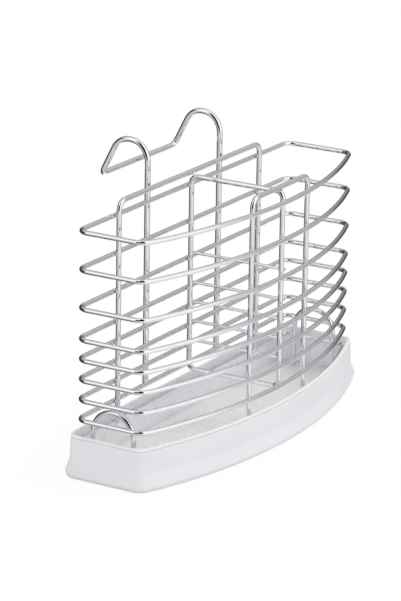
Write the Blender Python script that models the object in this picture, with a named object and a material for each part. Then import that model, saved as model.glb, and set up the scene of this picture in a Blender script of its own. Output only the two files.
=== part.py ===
"""A welded wire cutlery drainer that stands in a drip tray and lifts out of it.

Metres, +Z up. X runs along the straight back, and the bowed front faces -Y.
The origin is on the surface that the tray stands on, under the middle of the whole object.
"""

import math

import bmesh
import bpy

# Wires
RING_WIRE = 0.0030
FRAME_WIRE = 0.0032
HOOK_WIRE = 0.0036
ARCH_WIRE = 0.0032
BAR_WIRE = 0.0020
WELD_GAP = 0.0003

# Plan of a ring, along the middle of its wire
RING_WIDTH = 0.2500
RING_SIDE = 0.0455
BOW_RISE = 0.0245
BACK_CORNER_RADIUS = 0.0085
FRONT_CORNER_RADIUS = 0.0130

# Heights of the rings, from the lowest one up
LOWEST_RING_RISE = 0.0195
CLOSE_PITCH = 0.0126
MIDDLE_PITCH = 0.0192
WIDE_PITCH = 0.0236
CLOSE_PITCH_COUNT = 5
WIDE_PITCH_COUNT = 2

# Divider between the two compartments
DIVIDER_RISE = 0.0060
DIVIDER_DROP = 0.0022
DIVIDER_CORNER_RADIUS = 0.0045
BAR_RISE = 0.0036
BAR_OVERHANG = 0.0006
BAR_COUNT = 5

# Upright frames inside the back and inside the bow
BACK_FRAME_WIDTH = 0.1660
FRONT_FRAME_WIDTH = 0.0670
FRAME_CORNER_RADIUS = 0.0060
FRAME_LEG_DROP = 0.0020

# Wire with the two hooks behind the back
HOOK_SPACING = 0.0850
HOOK_RISE = 0.0230
HOOK_RADIUS = 0.0127
HOOK_TURN = math.radians(153)
HOOK_SLANT = 0.0200
HOOK_CORNER_RADIUS = 0.0045
HOOK_LEG_DROP = 0.0020

# Arches at the two ends, whose feet stand on the tray's floor
ARCH_RADIUS = 0.0142
ARCH_RISE = 0.0082
ARCH_SETBACK = 0.0244

# Drip tray
TRAY_HEIGHT = 0.0262
TRAY_WALL = 0.0018
TRAY_FLOOR = 0.0020
TRAY_CLEARANCE = 0.0009
TRAY_BACK_CORNER_RADIUS = 0.0080
TRAY_FRONT_CORNER_RADIUS = 0.0060
BAND_HEIGHT = 0.0156
BAND_DRAFT = 0.0007
FLARE_WIDTH = 0.0030
FLARE_BLEND = 0.0030
TRAY_FOOT_RADIUS = 0.0022
RIM_OUTER_RADIUS = 0.0013
RIM_INNER_RADIUS = 0.0004

# Fineness of the curves
WIRE_BEVEL_RESOLUTION = 2
CORNER_STEPS = 4
BOW_STEPS = 16
HOOK_STEPS = 10
ARCH_STEPS = 12
SHARP_ANGLE = math.radians(40)
POINT_WEIGHT = 1

# Finishes: colour, roughness, metallic
RING_CHROME = ((0.80, 0.81, 0.83), 0.08, 1.0)
FRAME_CHROME = ((0.84, 0.84, 0.86), 0.07, 1.0)
DIVIDER_CHROME = ((0.84, 0.84, 0.86), 0.07, 1.0)
BAR_CHROME = ((0.76, 0.77, 0.79), 0.10, 1.0)
HOOK_CHROME = ((0.86, 0.86, 0.88), 0.06, 1.0)
ARCH_CHROME = ((0.80, 0.81, 0.83), 0.08, 1.0)
FROSTED_PLASTIC = ((0.86, 0.87, 0.90), 0.45, 0.0)

QUARTER = math.pi / 2
HALF_WIDTH = RING_WIDTH / 2
RING_DEPTH = RING_SIDE + BOW_RISE
BOW_RADIUS = (HALF_WIDTH**2 + BOW_RISE**2) / (2 * BOW_RISE)
BOW_CENTRE_Y = BOW_RADIUS - RING_DEPTH

INNER_RIM = RING_WIRE / 2 + TRAY_CLEARANCE
OUTER_RIM = INNER_RIM + TRAY_WALL
FLOOR_LEVEL = TRAY_FLOOR + WELD_GAP
PITCHES = (CLOSE_PITCH,) * CLOSE_PITCH_COUNT + (MIDDLE_PITCH,) + (WIDE_PITCH,) * WIDE_PITCH_COUNT
FEET_RING_LEVEL = FLOOR_LEVEL + LOWEST_RING_RISE
RING_LEVELS = [FEET_RING_LEVEL + sum(PITCHES[:count]) for count in range(len(PITCHES) + 1)]
LOWEST_RING = RING_LEVELS[0]
SECOND_RING = RING_LEVELS[1]
TOP_RING = RING_LEVELS[-1]

DIVIDER_TOP = TOP_RING + DIVIDER_RISE
DIVIDER_BOTTOM = SECOND_RING - DIVIDER_DROP
FRAME_TOP = DIVIDER_TOP + FRAME_WIRE + WELD_GAP
FRAME_BOTTOM = LOWEST_RING - FRAME_LEG_DROP

HOOK_CENTRE_Z = TOP_RING + HOOK_RISE
HOOK_BOTTOM = SECOND_RING - HOOK_LEG_DROP


def inside_ring(wire):
    """How far the middle of a wire welded to a ring lies from the middle of the ring's own wire."""
    return RING_WIRE / 2 + WELD_GAP + wire / 2


def behind_bow(x, wire):
    """Y of an upright that touches the inside of the bow at x."""
    reach = BOW_RADIUS - inside_ring(wire)
    return BOW_CENTRE_Y - math.sqrt(reach**2 - x**2)


def hook_path():
    """One hook seen from the side, as (y, z) from the leg's top over the arc to the end of the slant."""
    centre = (inside_ring(HOOK_WIRE) + HOOK_RADIUS, HOOK_CENTRE_Z)
    points = arc(centre, HOOK_RADIUS, math.pi, math.pi - HOOK_TURN, HOOK_STEPS)
    end_y, end_z = points[-1]
    slope = HOOK_TURN - QUARTER
    points.append((end_y + HOOK_SLANT * math.cos(slope), end_z - HOOK_SLANT * math.sin(slope)))
    return points


def arc(centre, radius, start, end, steps):
    """Points on an arc in a plane, with both ends."""
    angles = [start + (end - start) * step / steps for step in range(steps + 1)]
    return [(centre[0] + radius * math.cos(a), centre[1] + radius * math.sin(a)) for a in angles]


def outline(offset, back_radius, front_radius):
    """A D-shaped plan at an outward offset from the rings' own, anticlockwise from the back left."""
    back_x = HALF_WIDTH + offset - back_radius
    back_y = offset - back_radius
    front_x = HALF_WIDTH + offset - front_radius
    front_reach = BOW_RADIUS + offset - front_radius
    front_y = BOW_CENTRE_Y - math.sqrt(front_reach**2 - front_x**2)
    lean = math.asin(front_x / front_reach)
    bow_start = -QUARTER - lean
    bow_end = lean - QUARTER
    bow = arc((0, BOW_CENTRE_Y), BOW_RADIUS + offset, bow_start, bow_end, BOW_STEPS)
    plan = arc((-back_x, back_y), back_radius, QUARTER, math.pi, CORNER_STEPS)
    plan += arc((-front_x, front_y), front_radius, -math.pi, bow_start, CORNER_STEPS)
    plan += bow[1:-1]
    plan += arc((front_x, front_y), front_radius, bow_end, 0, CORNER_STEPS)
    plan += arc((back_x, back_y), back_radius, 0, QUARTER, CORNER_STEPS)
    return plan


def tray_outline(offset):
    """The tray's plan at an offset. Its corners have their named radii on the outside of the rim."""
    growth = offset - OUTER_RIM
    return outline(offset, TRAY_BACK_CORNER_RADIUS + growth, TRAY_FRONT_CORNER_RADIUS + growth)


def clear_scene():
    for obj in list(bpy.data.objects):
        bpy.data.objects.remove(obj, do_unlink=True)


def finish_material(name, finish):
    colour, roughness, metallic = finish
    material = bpy.data.materials.new(name)
    material.use_nodes = True
    shader = material.node_tree.nodes["Principled BSDF"]
    shader.inputs["Base Color"].default_value = (*colour, 1)
    shader.inputs["Roughness"].default_value = roughness
    shader.inputs["Metallic"].default_value = metallic
    return material


def wire_curve(name, points, diameter, closed, finish):
    """A round wire along a list of points, in a metal finish of its own."""
    curve = bpy.data.curves.new(name, "CURVE")
    curve.dimensions = "3D"
    curve.bevel_depth = diameter / 2
    curve.bevel_resolution = WIRE_BEVEL_RESOLUTION
    curve.use_fill_caps = True
    spline = curve.splines.new("POLY")
    spline.points.add(len(points) - 1)
    for place, point in zip(spline.points, points):
        place.co = (*point, POINT_WEIGHT)
    spline.use_cyclic_u = closed
    spline.use_smooth = True
    curve.materials.append(finish_material(f"{name}_chrome", finish))
    return curve


def add_piece(name, data, parent, location=(0, 0, 0)):
    piece = bpy.data.objects.new(name, data)
    bpy.context.scene.collection.objects.link(piece)
    piece.parent = parent
    piece.location = location
    return piece


def rounded_path(corners, radii):
    """A path through corners in a plane, each one rounded to its radius. A radius of 0 keeps an end."""
    path = []
    for index, (corner, radius) in enumerate(zip(corners, radii)):
        if radius == 0:
            path.append(corner)
            continue
        before = corners[index - 1]
        after = corners[(index + 1) % len(corners)]
        path += round_corner(before, corner, after, radius)
    return path


def round_corner(before, corner, after, radius):
    """An arc that touches both legs of a corner."""
    into = math.atan2(before[1] - corner[1], before[0] - corner[0])
    out = math.atan2(after[1] - corner[1], after[0] - corner[0])
    spread = math.remainder(out - into, 2 * math.pi)
    middle = into + spread / 2
    reach = radius / math.sin(abs(spread) / 2)
    centre = (corner[0] + reach * math.cos(middle), corner[1] + reach * math.sin(middle))
    turn = math.copysign(math.pi - abs(spread), -spread)
    start = into - math.copysign(QUARTER, spread)
    return arc(centre, radius, start, start + turn, CORNER_STEPS)


def build_rings(basket):
    """The D-shaped rings, numbered from the top one down."""
    plan = [(x, y, 0) for x, y in outline(0, BACK_CORNER_RADIUS, FRONT_CORNER_RADIUS)]
    curve = wire_curve("ring", plan, RING_WIRE, True, RING_CHROME)
    for number, level in enumerate(reversed(RING_LEVELS), start=1):
        add_piece(f"ring_{number}", curve, basket, (0, 0, level))


def build_frame(name, width, y, basket):
    """An upside-down U of wire that holds the rings together."""
    half = width / 2
    corners = [(-half, FRAME_BOTTOM), (-half, FRAME_TOP), (half, FRAME_TOP), (half, FRAME_BOTTOM)]
    path = rounded_path(corners, (0, FRAME_CORNER_RADIUS, FRAME_CORNER_RADIUS, 0))
    points = [(x, 0, z) for x, z in path]
    add_piece(name, wire_curve(name, points, FRAME_WIRE, False, FRAME_CHROME), basket, (0, y, 0))


def build_divider(basket):
    """The upright loop across the middle, and the thin bars along one side of it."""
    back = -inside_ring(FRAME_WIRE)
    front = behind_bow(0, FRAME_WIRE)
    corners = [(back, DIVIDER_TOP), (front, DIVIDER_TOP), (front, DIVIDER_BOTTOM), (back, DIVIDER_BOTTOM)]
    path = rounded_path(corners, (DIVIDER_CORNER_RADIUS,) * len(corners))
    points = [(0, y, z) for y, z in path]
    loop = wire_curve("divider_loop", points, FRAME_WIRE, True, DIVIDER_CHROME)
    add_piece("divider_loop", loop, basket)

    bar_x = FRAME_WIRE / 2 + WELD_GAP + BAR_WIRE / 2
    overhang = FRAME_WIRE / 2 + BAR_OVERHANG
    ends = [(0, back + overhang, 0), (0, front - overhang, 0)]
    bar = wire_curve("divider_bar", ends, BAR_WIRE, False, BAR_CHROME)
    top_bar_ring = len(RING_LEVELS) - 1 - WIDE_PITCH_COUNT
    for number in range(BAR_COUNT):
        level = RING_LEVELS[top_bar_ring - number] + BAR_RISE
        add_piece(f"divider_bar_{number + 1}", bar, basket, (bar_x, 0, level))


def build_hook_wire(basket):
    """One wire: two legs behind the rings, two hooks, and the bar that joins their tips."""
    half = HOOK_SPACING / 2
    side = [(inside_ring(HOOK_WIRE), HOOK_BOTTOM)] + hook_path()
    tip = side[-1]
    slope = HOOK_TURN - QUARTER
    along = (math.cos(slope), -math.sin(slope))
    left = [(-half, y, z) for y, z in side[:-1]]
    left += hook_corner(-half, tip, along)
    right = [(-x, y, z) for x, y, z in reversed(left)]
    curve = wire_curve("hook_wire", left + right, HOOK_WIRE, False, HOOK_CHROME)
    add_piece("hook_wire", curve, basket)


def hook_corner(x, tip, along):
    """The bend from a slanting tip into the cross bar. Its plane holds the slant and the X axis."""
    flat = arc((HOOK_CORNER_RADIUS, 0), HOOK_CORNER_RADIUS, math.pi, QUARTER, CORNER_STEPS)
    base_y = tip[0] - HOOK_CORNER_RADIUS * along[0]
    base_z = tip[1] - HOOK_CORNER_RADIUS * along[1]
    return [(x + across, base_y + down * along[0], base_z + down * along[1]) for across, down in flat]


def build_arches(basket):
    """A round-topped arch inside each end. Its feet carry the basket on the tray's floor."""
    spring = SECOND_RING + ARCH_RISE - ARCH_RADIUS
    path = [(-ARCH_SETBACK - ARCH_RADIUS, FLOOR_LEVEL)]
    path += arc((-ARCH_SETBACK, spring), ARCH_RADIUS, math.pi, 0, ARCH_STEPS)
    path += [(-ARCH_SETBACK + ARCH_RADIUS, FLOOR_LEVEL)]
    curve = wire_curve("arch", [(0, y, z) for y, z in path], ARCH_WIRE, False, ARCH_CHROME)
    reach = HALF_WIDTH - inside_ring(ARCH_WIRE)
    for name, x in (("left_arch", -reach), ("right_arch", reach)):
        add_piece(name, curve, basket, (x, 0, 0))


def tray_profile():
    """Section of the tray's wall as (outward offset from the rings, height), from floor to underside."""
    step = TRAY_HEIGHT - BAND_HEIGHT
    foot_z = TRAY_FOOT_RADIUS
    outer_foot = OUTER_RIM + BAND_DRAFT + FLARE_WIDTH
    inner_foot = outer_foot - TRAY_WALL
    inner_radius = max(TRAY_FOOT_RADIUS - TRAY_WALL, RIM_INNER_RADIUS)
    rim_radius = min(RIM_OUTER_RADIUS, TRAY_WALL - RIM_INNER_RADIUS)
    inside = rounded_path(
        [
            (inner_foot - FLARE_WIDTH, TRAY_FLOOR),
            (inner_foot, TRAY_FLOOR),
            (INNER_RIM + BAND_DRAFT, step),
            (INNER_RIM, TRAY_HEIGHT),
            (OUTER_RIM, TRAY_HEIGHT),
        ],
        (0, inner_radius, FLARE_BLEND, RIM_INNER_RADIUS, 0),
    )
    outside = rounded_path(
        [
            (INNER_RIM, TRAY_HEIGHT),
            (OUTER_RIM, TRAY_HEIGHT),
            (OUTER_RIM + BAND_DRAFT, step),
            (outer_foot, foot_z),
            (outer_foot - TRAY_FOOT_RADIUS, 0),
        ],
        (0, rim_radius, FLARE_BLEND, TRAY_FOOT_RADIUS / 2, 0),
    )
    return inside[1:-1] + outside[1:]


def build_tray(location):
    """The drip tray: one moulded shell, swept round the rings' plan."""
    mesh = bpy.data.meshes.new("drip_tray")
    work = bmesh.new()
    rows = []
    for offset, level in tray_profile():
        rows.append([work.verts.new((x, y, level)) for x, y in tray_outline(offset)])
    count = len(rows[0])
    for lower, upper in zip(rows, rows[1:]):
        for index in range(count):
            after = (index + 1) % count
            work.faces.new((lower[index], upper[index], upper[after], lower[after]))
    work.faces.new(rows[0])
    work.faces.new(list(reversed(rows[-1])))
    bmesh.ops.recalc_face_normals(work, faces=work.faces)
    work.to_mesh(mesh)
    work.free()
    mesh.shade_smooth()
    mesh.set_sharp_from_angle(angle=SHARP_ANGLE)
    mesh.materials.append(finish_material("frosted_plastic", FROSTED_PLASTIC))
    add_piece("drip_tray", mesh, None, location)


def middle_y():
    """Y of the rings' back run, with the whole object centred on the origin."""
    hook_reach = hook_path()[-1][0] + HOOK_WIRE / 2
    flare = max(offset for offset, level in tray_profile())
    return (RING_DEPTH + flare - hook_reach) / 2


def main():
    clear_scene()
    back = (0, middle_y(), 0)
    build_tray(back)

    # The basket slides straight up out of the tray on this empty
    basket = add_piece("basket_lift", None, None, back)
    build_rings(basket)
    build_frame("back_frame", BACK_FRAME_WIDTH, -inside_ring(FRAME_WIRE), basket)
    front_y = behind_bow(FRONT_FRAME_WIDTH / 2, FRAME_WIRE)
    build_frame("front_frame", FRONT_FRAME_WIDTH, front_y, basket)
    build_divider(basket)
    build_hook_wire(basket)
    build_arches(basket)


main()
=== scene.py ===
"""A welded wire cutlery drainer standing in its drip tray.

Metres, +Z up. X runs along the straight back, the bowed front faces -Y, and the hooks are behind.
"""

import math

import bmesh
import bpy
from bpy.props import FloatProperty, FloatVectorProperty, IntProperty, PointerProperty
from bpy.types import Operator, Panel, PropertyGroup
from mathutils import Matrix, Vector


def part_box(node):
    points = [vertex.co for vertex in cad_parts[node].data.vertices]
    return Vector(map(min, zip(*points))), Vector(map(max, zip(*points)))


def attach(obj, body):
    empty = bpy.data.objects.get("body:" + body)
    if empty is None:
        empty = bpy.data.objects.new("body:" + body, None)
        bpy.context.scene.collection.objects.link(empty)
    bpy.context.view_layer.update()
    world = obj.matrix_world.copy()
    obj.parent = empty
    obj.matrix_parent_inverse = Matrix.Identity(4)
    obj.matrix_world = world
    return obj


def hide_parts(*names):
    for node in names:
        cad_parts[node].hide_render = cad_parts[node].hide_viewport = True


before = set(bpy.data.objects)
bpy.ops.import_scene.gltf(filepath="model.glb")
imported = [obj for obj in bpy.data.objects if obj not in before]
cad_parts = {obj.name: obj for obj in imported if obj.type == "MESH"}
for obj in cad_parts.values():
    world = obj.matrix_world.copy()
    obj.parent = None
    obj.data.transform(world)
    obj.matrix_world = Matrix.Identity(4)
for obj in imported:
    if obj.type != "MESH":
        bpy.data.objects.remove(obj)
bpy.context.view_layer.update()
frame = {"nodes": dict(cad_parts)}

bl_info = {
    "name": "Cutlery drainer",
    "version": (1, 0, 0),
    "blender": (4, 5, 0),
    "location": "3D View > Sidebar > Drainer",
    "description": "Draws a welded wire cutlery drainer and its drip tray",
    "category": "Add Mesh",
}

PHOTO_WIDTH = 401
SENSOR_WIDTH = 36.0
CLIP_START, CLIP_END = 0.1, 20
QUARTER = math.pi / 2
WHITE = (1, 1, 1, 1)
RING_COUNT = 9
FRAMES = ("back_frame", "front_frame")
BARS = tuple(f"divider_bar_{number}" for number in range(1, 6))
ARCHES = ("left_arch", "right_arch")
# Where each kind's seeds start. A ring's seed is its number
FRAME_SEED, DIVIDER_SEED, HOOK_SEED, ARCH_SEED = 20, 30, 40, 50
BASKET = "basket"
TRAY = "tray"
# Blender's noise runs from 0 to 1 around this middle
NOISE_MIDDLE = 0.5
# Attributes on the meshes that the materials read
RUN = "wire_run"
# Marks the tray's inside, which is painted whiter than the outside: partly its texture, partly painted light for the
# light that comes through the frosted walls
INSIDE = "inside"
# Marks the groove under the rim, where the plastic is painted darker as painted shade
GROOVED = "grooved"
# Attributes on the crossings that turn and size the welds
PRESS = "press"
ALONG = "along"
WELD_SIZE = "weld_size"
# Places of the extra points near a wire's cut end, as shares of its rounding,
# and the share of its radius that the wire keeps at the cut
END_SHARES = (0.02, 0.12, 0.3, 0.6, 1.0)
END_FACE = 0.58


def span(node):
    """Size of a CAD node's box."""
    low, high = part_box(node)
    return high - low


def middle(node):
    """Middle of a CAD node's box."""
    low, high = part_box(node)
    return (low + high) / 2


def length(name, default, description, **options):
    return FloatProperty(name=name, default=default, description=description, unit="LENGTH", precision=5, **options)


def share(name, default, description):
    return FloatProperty(name=name, default=default, description=description, min=0, max=1, subtype="FACTOR")


def angle(name, degrees, description):
    return FloatProperty(name=name, default=math.radians(degrees), description=description, subtype="ANGLE")


def paint(name, default, description):
    return FloatVectorProperty(
        name=name, default=default, description=description, size=3, min=0, max=1, subtype="COLOR"
    )


class RingSizes(PropertyGroup):
    """Rings"""

    gauge: length("Wire gauge", span("ring_1").z, "Diameter of the rings' wire")
    width: length("Width", span("ring_1").x - span("ring_1").z, "Across a ring, between the middles of its wire")
    depth: length("Depth", span("ring_1").y - span("ring_1").z, "From the straight back to the middle of the bow")
    side: length("Side", 0.0455, "Depth of the straight ends, with their corners")
    back_corner: length("Back corner", 0.0072, "Bend radius of the two back corners")
    front_corner: length("Front corner", 0.0085, "Bend radius of the two front corners")
    end_tuck: length("End tuck", 0.0006, "How far the straight ends lie inside the full width")
    joint_x: length("Butt joint", -0.0620, "Where along the back each ring's ends are welded together")


class FrameSizes(PropertyGroup):
    """Frames and divider"""

    gauge: length("Wire gauge", span("back_frame").y, "Diameter of the frames' and the divider's wire")
    corner: length("Corner", 0.0060, "Bend radius of the frames' corners")
    loop_corner: length("Divider corner", 0.0045, "Bend radius of the divider's corners")
    bar_gauge: length("Bar gauge", span("divider_bar_1").x, "Diameter of the divider's thin bars")


class HookSizes(PropertyGroup):
    """Hooks"""

    gauge: length("Wire gauge", 0.0036, "Diameter of the hooks' wire")
    radius: length("Hook radius", 0.0127, "Radius of each hook's round top")
    turn: angle("Turn", 153, "How far each hook turns over")
    slant: length("Slant", 0.0200, "Straight length after the round top")
    corner: length("Corner", 0.0045, "Bend radius into the bar that joins the hooks")
    top_rise: length("Rise", 0.0230, "Middle of the round top above the top ring")


class ArchSizes(PropertyGroup):
    """Arches"""

    gauge: length("Wire gauge", span("left_arch").x, "Diameter of the arches' wire")
    foot_gap: length("Foot gap", 0.0001, "Air between an arch's foot and the tray's floor")


class WireMaking(PropertyGroup):
    """Wires and welds"""

    sides: IntProperty(name="Sides", default=20, min=6, description="Faces around a wire")
    spacing: length("Spacing", 0.0025, "Longest straight step along a wire")
    bend_steps: IntProperty(name="Bend steps", default=14, min=4, description="Steps in a right-angled bend")
    bow_steps: IntProperty(name="Bow steps", default=112, min=8, description="Steps along the bowed front")
    wave: length("Wave", 0.00008, "How far a straightened wire still strays from its line")
    wave_length: length("Wave length", 0.034, "Length of the wire's stray waves")
    end_round: length("End rounding", 0.00045, "How far the rounding of a cut end reaches")
    weld_sink: length("Weld sink", 0.0007, "How far the CAD's welded wires are pressed together")
    weld_spread: length("Weld spread", 0.00125, "Radius of a weld nugget along the wires")
    weld_height: length("Weld height", 0.00062, "Radius of a weld nugget between the wires")
    bar_weld: share("Bar weld", 0.8, "Size of a bar's nugget, as a share of a ring's")
    weld_unevenness: share("Weld unevenness", 0.18, "How much the nuggets differ in size")
    weld_seed: IntProperty(name="Weld seed", default=7, description="Seed of the nuggets' sizes")


class TraySizes(PropertyGroup):
    """Drip tray"""

    clearance: length("Clearance", 0.0024, "From the middle of the rings' wire to the tray's inner face, at the rim")
    floor: length("Floor", 0.0020, "Thickness of the floor")
    back_corner: length("Back corner", 0.0080, "Radius of the two back corners, on the outside of the rim")
    front_corner: length("Front corner", 0.0060, "Radius of the two front corners, on the outside of the rim")
    rim_land: length("Rim land", 0.0010, "Width of the flat top of the rim")
    rim_fall: length("Rim fall", 0.0011, "How far the rim slopes down to its outer edge")
    rim_width: length("Rim width", 0.0019, "Whole width of the rim")
    rim_round: length("Rim rounding", 0.00035, "Rounding of the rim's edges")
    groove: length("Groove", 0.0007, "Depth, and half the height, of the groove between the rim and the band")
    groove_foot: length("Groove foot", 0.00008125, "How far the groove's lower edge stands out past the rim")
    band_foot: length("Band foot", 0.0106, "Height at which the upright band meets the flare")
    band_draft: length("Draft", 0.00065, "How far the band widens down to the flare")
    flare_blend: length("Flare blend", 0.0042, "Radius of the hollow between the band and the flare")
    foot_height: length("Foot height", 0.0024, "Height of the tray's widest line")
    foot_tuck: length("Foot tuck", 0.0009, "How far the wall draws in below its widest line")
    foot_round: length("Foot round", 0.0014, "Rounding of the foot")
    foot_over: length("Foot over", 0.00006, "How far the foot's corner would stand out if it weren't rounded")
    cove: length("Cove", 0.0012, "Rounding between the floor and the inner face")
    sheet_edge: length("Sheet edge", 0.0070, "How far inside the rings' line the flat of the floor is closed")
    row_step: length("Row step", 0.0010, "Longest step along the wall's section")
    corner_steps: IntProperty(name="Corner steps", default=5, min=1, description="Steps in each of its corners")


class Finishes(PropertyGroup):
    """Finishes"""

    ring: paint("Ring plating", (0.855, 0.868, 0.892), "Colour of the rings' and arches' chrome")
    frame: paint("Frame plating", (0.872, 0.884, 0.906), "Colour of the frames' and the divider's chrome")
    bar: paint("Bar plating", (0.825, 0.838, 0.862), "Colour of the thin bars' chrome")
    hook: paint("Hook plating", (0.885, 0.897, 0.918), "Colour of the hooks' chrome")
    weld: paint("Weld plating", (0.36, 0.365, 0.375), "Colour of the chrome over the welds")
    tarnish: paint("Haze", (0.69, 0.70, 0.715), "Colour of the thin haze of dried water on the chrome")
    plastic: paint("Frosted plastic", (0.785, 0.79, 0.81), "Colour of the tray")
    plastic_shade: paint("Plastic shade", (0.725, 0.731, 0.748), "Colour of the tray's slightly greyer flow marks")
    # Painted shade: the plastic in the groove under the rim is painted darker, as if shaded by the lip
    painted_groove_shade: paint("Painted groove shade", (0.70, 0.705, 0.72), "Colour of the plastic deep in the groove under the rim")
    # Partly painted light: the inside is whiter than the outside to stand in for light that comes through the frosted
    # walls
    inside: paint("Inside", (0.93, 0.932, 0.942), "Colour of the tray's textured inside, whiter than the outside")
    inside_shade: paint("Inside shade", (0.845, 0.85, 0.862), "Colour of the hollows in the inside's texture")
    ring_haze: share("Ring haze", 0.24, "How hazy the rings and arches are")
    frame_haze: share("Frame haze", 0.2, "How hazy the frames and the divider are")
    bar_haze: share("Bar haze", 0.3, "How hazy the thin bars are")
    hook_haze: share("Hook haze", 0.18, "How hazy the hooks are")
    weld_haze: share("Weld haze", 0.6, "How hazy the welds are")
    polish: share("Polish", 0.03, "Roughness of clean chrome")
    weld_polish: share("Weld polish", 0.28, "Roughness of the chrome over the welds")
    frost: share("Frost", 0.44, "Roughness of the frosted plastic")
    milk: share("Milk", 0.7, "How much of the light scatters inside the plastic")
    milk_depth: length("Milk depth", 0.003, "How far light wanders inside the plastic")


class StageSettings(PropertyGroup):
    """Stage"""

    azimuth: angle("Azimuth", -59.19, "Turn of the camera around the drainer, from straight in front")
    elevation: angle("Elevation", 17.526, "Height of the camera as an angle")
    roll: angle("Roll", 0.961, "Tilt of the camera about its own line of sight")
    distance: length("Distance", 1.973938, "From the camera to the plane through the second ring")
    aside: length("Aside", 0.009591, "How far the line of sight passes beside the second ring's back")
    above: length("Above", 0.039892, "How far the line of sight passes above the second ring's back")
    focal_pixels: FloatProperty(name="Focal length", default=3147.348, description="Focal length in picture elements")
    fill: share("Fill", 0.91, "Strength of the even light from all around")
    lamp: FloatProperty(name="Lamp", default=5.3, min=0, description="Power of the soft box above", unit="POWER")
    lamp_size: length("Lamp size", 0.8, "Diameter of the soft box")
    lamp_place: FloatVectorProperty(
        name="Lamp place",
        default=(0.18, -0.22, 1.28),
        description="Middle of the soft box",
        size=3,
        subtype="TRANSLATION",
    )
    studio: FloatProperty(name="Studio", default=1.12, min=0, description="Brightness of the studio beside its cards")
    floor_reach: length("Floor reach", 3.0, "From the middle of the floor to its edges")
    floor_drop: length("Floor drop", 0.0002, "How far the floor lies below the tray")
    floor_colour: paint("Floor", (0.9, 0.9, 0.9), "Colour of the floor")
    floor_white: share("Floor white", 0.88, "How far the floor's own shadow is bleached towards white")
    shadow_near: length("Shadow, near", 0.16, "How far out the floor's shadow starts to fade")
    shadow_far: length("Shadow, far", 0.5, "How far out the floor's shadow has gone")


# Paths


def arc(centre, radius, start, end, steps):
    """Points on an arc in a plane, with both ends."""
    angles = [start + (end - start) * step / steps for step in range(steps + 1)]
    return [(centre[0] + radius * math.cos(a), centre[1] + radius * math.sin(a)) for a in angles]


def round_corner(before, corner, after, radius, steps):
    """An arc that touches both legs of a corner."""
    into = math.atan2(before[1] - corner[1], before[0] - corner[0])
    out = math.atan2(after[1] - corner[1], after[0] - corner[0])
    spread = math.remainder(out - into, 2 * math.pi)
    reach = radius / math.sin(abs(spread) / 2)
    centre = (corner[0] + reach * math.cos(into + spread / 2), corner[1] + reach * math.sin(into + spread / 2))
    start = into - math.copysign(QUARTER, spread)
    return arc(centre, radius, start, start + math.copysign(math.pi - abs(spread), -spread), steps)


def rounded(corners, radii, steps):
    """A path through corners in a plane, each rounded to its radius. A radius of 0 keeps an end."""
    path = []
    for index, (corner, radius) in enumerate(zip(corners, radii)):
        if radius == 0:
            path.append(corner)
            continue
        path += round_corner(corners[index - 1], corner, corners[(index + 1) % len(corners)], radius, steps)
    return path


def spaced(points, step, closed):
    """The same path with its long straight runs cut into steps."""
    places = [Vector(point) for point in points]
    pairs = list(zip(places, places[1:] + places[:1])) if closed else list(zip(places, places[1:]))
    path = []
    for start, end in pairs:
        count = max(1, math.ceil((end - start).length / step))
        path += [start.lerp(end, index / count) for index in range(count)]
    return path if closed else path + [places[-1]]


def back_line():
    """Y of the middle of the rings' wire along the straight back."""
    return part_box("ring_1")[1].y - span("ring_1").z / 2


def ring_level(number):
    return middle(f"ring_{number}").z


def bow():
    """Radius of the bowed front, and y of its centre."""
    rings = bpy.context.scene.drainer_rings
    rise = rings.depth - rings.side
    radius = ((rings.width / 2) ** 2 + rise**2) / (2 * rise)
    return radius, back_line() + radius - rings.depth


def plan_around(offset, back_radius, front_radius, tuck=0):
    """A D-shaped plan at an outward offset from the rings' own, anticlockwise from the back left."""
    scene = bpy.context.scene
    steps, bow_steps = scene.drainer_making.bend_steps, scene.drainer_making.bow_steps
    bow_radius, bow_y = bow()
    side = scene.drainer_rings.width / 2 + offset - tuck
    back_x, front_x = side - back_radius, side - front_radius
    back_y = back_line() + offset - back_radius
    reach = bow_radius + offset - front_radius
    front_y = bow_y - math.sqrt(reach**2 - front_x**2)
    lean = math.asin(front_x / reach)
    plan = arc((-back_x, back_y), back_radius, QUARTER, math.pi, steps)
    plan += arc((-front_x, front_y), front_radius, -math.pi, -QUARTER - lean, steps)
    plan += arc((0, bow_y), bow_radius + offset, -QUARTER - lean, lean - QUARTER, bow_steps)[1:-1]
    plan += arc((front_x, front_y), front_radius, lean - QUARTER, 0, steps)
    plan += arc((back_x, back_y), back_radius, 0, QUARTER, steps)
    return plan


def ring_plan():
    rings = bpy.context.scene.drainer_rings
    return plan_around(0, rings.back_corner, rings.front_corner, rings.end_tuck)


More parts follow.
